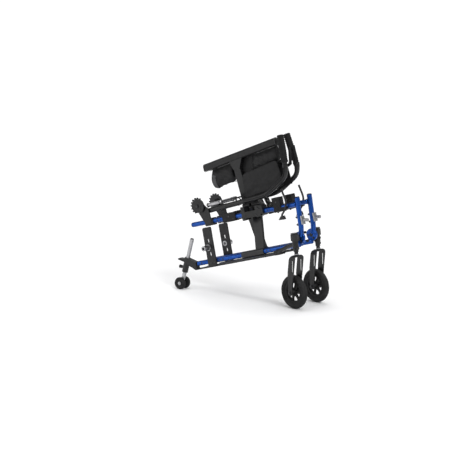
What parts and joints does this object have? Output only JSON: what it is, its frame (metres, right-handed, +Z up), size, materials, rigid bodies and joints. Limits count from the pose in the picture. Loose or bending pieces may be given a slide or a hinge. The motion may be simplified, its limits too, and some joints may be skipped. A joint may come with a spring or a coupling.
{
  "type": "folding tilt wheelchair",
  "caption": "Wheelchair chassis folded flat: two blue tube side frames on black bases, cross-brace with raised padded seat rails, hinged back canes, front casters, rear anti-tip leg.",
  "frame": {"origin": "on the floor, under the middle of the whole chair's box", "axes": "+X forward, +Y to the chair's left, +Z up"},
  "size_m": [0.7404, 0.2346, 0.7547],
  "materials": {
    "blue_paint": "gloss metallic",
    "black_paint": "satin",
    "black_plastic": "matte",
    "silver": "satin",
    "black_rubber": "matte",
    "tyre": "matte",
    "black_fabric": "woven"
  },
  "bodies": {
    "base_near": {"base_rail_near": "black_paint", "axle_plate_near": "black_paint", "axle_sleeve_near": "silver", "caster_arm_near": "black_paint", "antitip_arm": "black_paint"},
    "seat_frame_near": {"lower_tube_near": "blue_paint", "upper_tube_near": "blue_paint", "front_tube_near": "blue_paint", "rear_saddle_near": "black_plastic", "front_saddle_near": "black_plastic", "brace_bracket_near": "black_paint", "brace_link_near": "black_paint", "back_post_near": "black_paint", "recline_disc_near": "black_paint", "hanger_bracket_near": "silver"},
    "back_near": {"cane_near": "black_paint", "grip_near": "black_rubber", "gas_spring_near": "silver", "release_cable_near": "black_plastic", "back_upholstery_near": "black_fabric"},
    "caster_near": {"caster_fork_near": "black_paint"},
    "caster_wheel_near": {"caster_tyre_near": "tyre", "caster_hub_near": "black_plastic"},
    "brake_near": {"brake_lever_near": "black_paint"},
    "release_lever_near": {"hand_lever_near": "black_plastic"},
    "base_far": {"base_rail_far": "black_paint", "axle_plate_far": "black_paint", "axle_sleeve_far": "silver", "caster_arm_far": "black_paint"},
    "seat_frame_far": {"lower_tube_far": "blue_paint", "upper_tube_far": "blue_paint", "front_tube_far": "blue_paint", "rear_saddle_far": "black_plastic", "front_saddle_far": "black_plastic", "brace_bracket_far": "black_paint", "brace_link_far": "black_paint", "back_post_far": "black_paint", "recline_disc_far": "black_paint", "hanger_bracket_far": "silver"},
    "back_far": {"cane_far": "black_paint", "grip_far": "black_rubber", "gas_spring_far": "silver", "release_cable_far": "black_plastic", "back_upholstery_far": "black_fabric"},
    "caster_far": {"caster_fork_far": "black_paint"},
    "caster_wheel_far": {"caster_tyre_far": "tyre", "caster_hub_far": "black_plastic"},
    "brake_far": {"brake_lever_far": "black_paint"},
    "release_lever_far": {"hand_lever_far": "black_plastic"},
    "brace_a": {"brace_arm_a": "black_paint", "cross_bolt": "black_paint", "rail_pad_far": "black_fabric"},
    "brace_b": {"brace_arm_b": "black_paint", "rail_pad_near": "black_fabric", "seat_sling_rear": "black_fabric", "seat_sling_front": "black_fabric"},
    "antitip_leg": {"antitip_tube": "silver"},
    "antitip_roller_outer": {"antitip_wheel_outer": "tyre"},
    "antitip_roller_inner": {"antitip_wheel_inner": "tyre"},
    "antitip_plunger": {"antitip_knob": "black_plastic"}
  },
  "joints": [
    {"name": "tilt_near", "type": "hinge", "parent": "base_near", "child": "seat_frame_near", "pos_m": [0.30273, -0.05012, 0.31001], "axis": [0, 1, 0], "range_deg": [0, 16]},
    {"name": "fold", "type": "hinge", "parent": "seat_frame_near", "child": "brace_a", "pos_m": [0.03681, -0.05012, 0.20617], "axis": [-0.9636, 0, -0.2672], "range_deg": [0, 22]},
    {"name": "brace_cross", "type": "hinge", "parent": "brace_a", "child": "brace_b", "pos_m": [0.01246, -0.00462, 0.41748], "axis": [-0.9636, 0, -0.2672], "range_deg": [-44, 0]},
    {"name": "far_frame_hinge", "type": "hinge", "parent": "brace_b", "child": "seat_frame_far", "pos_m": [0.04452, 0.04088, 0.20831], "axis": [-0.9636, 0, -0.2672], "range_deg": [0, 22]},
    {"name": "tilt_far", "type": "hinge", "parent": "seat_frame_far", "child": "base_far", "pos_m": [0.30273, 0.04088, 0.31001], "axis": [0, 1, 0], "range_deg": [-16, 0]},
    {"name": "caster_swivel_near", "type": "hinge", "parent": "base_near", "child": "caster_near", "pos_m": [0.30492, -0.08662, 0.2909], "axis": [-0.1305, 0, 0.9914], "continuous": true},
    {"name": "caster_roll_near", "type": "hinge", "parent": "caster_near", "child": "caster_wheel_near", "pos_m": [0.29664, -0.0802, 0.07464], "axis": [0.1722, 0.9848, 0.0227], "continuous": true},
    {"name": "caster_swivel_far", "type": "hinge", "parent": "base_far", "child": "caster_far", "pos_m": [0.30492, 0.07738, 0.2909], "axis": [-0.1305, 0, 0.9914], "continuous": true},
    {"name": "caster_roll_far", "type": "hinge", "parent": "caster_far", "child": "caster_wheel_far", "pos_m": [0.29664, 0.0838, 0.07464], "axis": [0.1722, 0.9848, 0.0227], "continuous": true},
    {"name": "recline_near", "type": "hinge", "parent": "seat_frame_near", "child": "back_near", "pos_m": [-0.23868, -0.05012, 0.39128], "axis": [0, -1, 0], "range_deg": [0, 100]},
    {"name": "recline_far", "type": "hinge", "parent": "seat_frame_far", "child": "back_far", "pos_m": [-0.23868, 0.04088, 0.39128], "axis": [0, -1, 0], "range_deg": [0, 100]},
    {"name": "brake_near_swing", "type": "hinge", "parent": "seat_frame_near", "child": "brake_near", "pos_m": [0.23996, -0.05012, 0.43161], "axis": [0, -1, 0], "range_deg": [0, 22]},
    {"name": "release_lever_near_squeeze", "type": "hinge", "parent": "back_near", "child": "release_lever_near", "pos_m": [0.22304, -0.05012, 0.61588], "axis": [0, -1, 0], "range_deg": [0, 5], "stiffness_Nm_per_rad": 1.5},
    {"name": "brake_far_swing", "type": "hinge", "parent": "seat_frame_far", "child": "brake_far", "pos_m": [0.23996, 0.04088, 0.43161], "axis": [0, -1, 0], "range_deg": [0, 22]},
    {"name": "release_lever_far_squeeze", "type": "hinge", "parent": "back_far", "child": "release_lever_far", "pos_m": [0.21556, 0.04088, 0.61388], "axis": [0, -1, 0], "range_deg": [0, 5], "stiffness_Nm_per_rad": 1.5},
    {"name": "antitip_slide", "type": "slide", "parent": "base_near", "child": "antitip_leg", "axis": [0.2605, 0, 0.9655], "range_m": [-0.06, 0]},
    {"name": "antitip_roll_outer", "type": "hinge", "parent": "antitip_leg", "child": "antitip_roller_outer", "pos_m": [-0.34308, -0.05012, 0.027], "axis": [0, 1, 0], "continuous": true},
    {"name": "antitip_roll_inner", "type": "hinge", "parent": "antitip_leg", "child": "antitip_roller_inner", "pos_m": [-0.34308, -0.05012, 0.027], "axis": [0, 1, 0], "continuous": true},
    {"name": "antitip_plunger_pull", "type": "slide", "parent": "base_near", "child": "antitip_plunger", "axis": [-1, 0, 0], "range_m": [0, 0.005], "stiffness_N_per_m": 600}
  ],
  "couplings": [
    {"joint": "brace_cross", "follows": "fold", "ratio": -2},
    {"joint": "far_frame_hinge", "follows": "fold", "ratio": 1},
    {"joint": "tilt_far", "follows": "tilt_near", "ratio": -1},
    {"joint": "recline_far", "follows": "recline_near", "ratio": 1}
  ]
}
